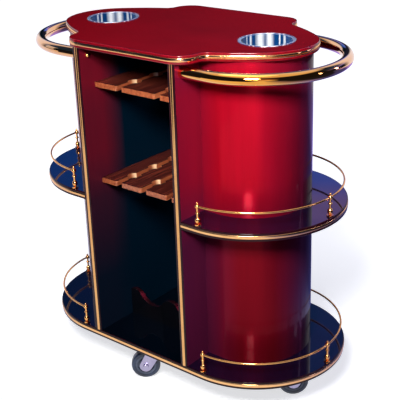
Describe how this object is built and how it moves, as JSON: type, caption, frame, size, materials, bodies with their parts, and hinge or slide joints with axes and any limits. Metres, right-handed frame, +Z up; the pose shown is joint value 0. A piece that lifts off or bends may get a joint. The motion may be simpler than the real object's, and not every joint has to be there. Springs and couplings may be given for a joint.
{
  "type": "bar cart",
  "caption": "Bar cart on swivel casters with an open middle bay, round drums at both ends, railed half-round shelves, lift-out wells and a tube handle round each end.",
  "frame": {"origin": "floor point under the middle of the cart", "axes": "+X along the cart's length, -Y out of the open front, +Z up"},
  "size_m": [0.864, 0.46, 0.8875],
  "materials": {
    "crimson_board": "high gloss crimson laminate on board",
    "navy_board": "high gloss navy blue laminate on board",
    "gold_edging": "metallised gold edging strip, polished",
    "polished_tube": "mirror polished",
    "polished_brass": "polished",
    "stainless": "satin with a polished rim",
    "maple": "stained and varnished wood",
    "plated_steel": "bright plated pressed steel",
    "grey_hub": "moulded grey plastic",
    "grey_tyre": "soft grey tread"
  },
  "bodies": {
    "cart": {"base_board": "navy_board", "base_edge_trim": "gold_edging", "left_side_panel": "crimson_board", "right_side_panel": "crimson_board", "left_front_panel_trim": "gold_edging", "left_back_panel_trim": "gold_edging", "right_front_panel_trim": "gold_edging", "right_back_panel_trim": "gold_edging", "back_panel": "navy_board", "left_lower_drum": "crimson_board", "left_upper_drum": "crimson_board", "right_lower_drum": "crimson_board", "right_upper_drum": "crimson_board", "left_mid_shelf": "navy_board", "right_mid_shelf": "navy_board", "left_mid_shelf_trim": "gold_edging", "right_mid_shelf_trim": "gold_edging", "top_board": "crimson_board", "top_edge_trim": "gold_edging", "left_handle": "polished_tube", "right_handle": "polished_tube", "handle_bolts": "polished_brass", "left_base_rail": "polished_brass", "right_base_rail": "polished_brass", "left_shelf_rail": "polished_brass", "right_shelf_rail": "polished_brass", "left_base_spindles": "polished_brass", "right_base_spindles": "polished_brass", "left_shelf_spindles": "polished_brass", "right_shelf_spindles": "polished_brass", "upper_stemware_rack": "maple", "lower_stemware_rack": "maple", "front_bottle_cradle": "crimson_board", "back_bottle_cradle": "crimson_board", "caster_plates": "plated_steel"},
    "front_swivel": {"front_caster_fork": "plated_steel", "front_caster_axle": "plated_steel"},
    "front_wheel": {"front_caster_hub": "grey_hub", "front_caster_tyre": "grey_tyre"},
    "back_swivel": {"back_caster_fork": "plated_steel", "back_caster_axle": "plated_steel"},
    "back_wheel": {"back_caster_hub": "grey_hub", "back_caster_tyre": "grey_tyre"},
    "left_swivel": {"left_caster_fork": "plated_steel", "left_caster_axle": "plated_steel"},
    "left_wheel": {"left_caster_hub": "grey_hub", "left_caster_tyre": "grey_tyre"},
    "right_swivel": {"right_caster_fork": "plated_steel", "right_caster_axle": "plated_steel"},
    "right_wheel": {"right_caster_hub": "grey_hub", "right_caster_tyre": "grey_tyre"},
    "left_well": {"left_well": "stainless"},
    "right_well": {"right_well": "stainless"}
  },
  "joints": [
    {"name": "front_caster_swivel", "type": "hinge", "parent": "cart", "child": "front_swivel", "pos_m": [0, -0.164, 0.083], "axis": [0, 0, 1], "continuous": true},
    {"name": "front_wheel_spin", "type": "hinge", "parent": "front_swivel", "child": "front_wheel", "pos_m": [-0.02189, -0.18303, 0.0375], "axis": [0.6561, -0.7547, 0], "continuous": true},
    {"name": "back_caster_swivel", "type": "hinge", "parent": "cart", "child": "back_swivel", "pos_m": [0, 0.164, 0.083], "axis": [0, 0, 1], "continuous": true},
    {"name": "back_wheel_spin", "type": "hinge", "parent": "back_swivel", "child": "back_wheel", "pos_m": [-0.02189, 0.14497, 0.0375], "axis": [0.6561, -0.7547, 0], "continuous": true},
    {"name": "left_caster_swivel", "type": "hinge", "parent": "cart", "child": "left_swivel", "pos_m": [-0.35, 0, 0.083], "axis": [0, 0, 1], "continuous": true},
    {"name": "left_wheel_spin", "type": "hinge", "parent": "left_swivel", "child": "left_wheel", "pos_m": [-0.37189, -0.01903, 0.0375], "axis": [0.6561, -0.7547, 0], "continuous": true},
    {"name": "right_caster_swivel", "type": "hinge", "parent": "cart", "child": "right_swivel", "pos_m": [0.35, 0, 0.083], "axis": [0, 0, 1], "continuous": true},
    {"name": "right_wheel_spin", "type": "hinge", "parent": "right_swivel", "child": "right_wheel", "pos_m": [0.32811, -0.01903, 0.0375], "axis": [0.6561, -0.7547, 0], "continuous": true},
    {"name": "left_well_lift", "type": "slide", "parent": "cart", "child": "left_well", "axis": [0, 0, 1], "range_m": [0, 0.2]},
    {"name": "right_well_lift", "type": "slide", "parent": "cart", "child": "right_well", "axis": [0, 0, 1], "range_m": [0, 0.2]}
  ]
}
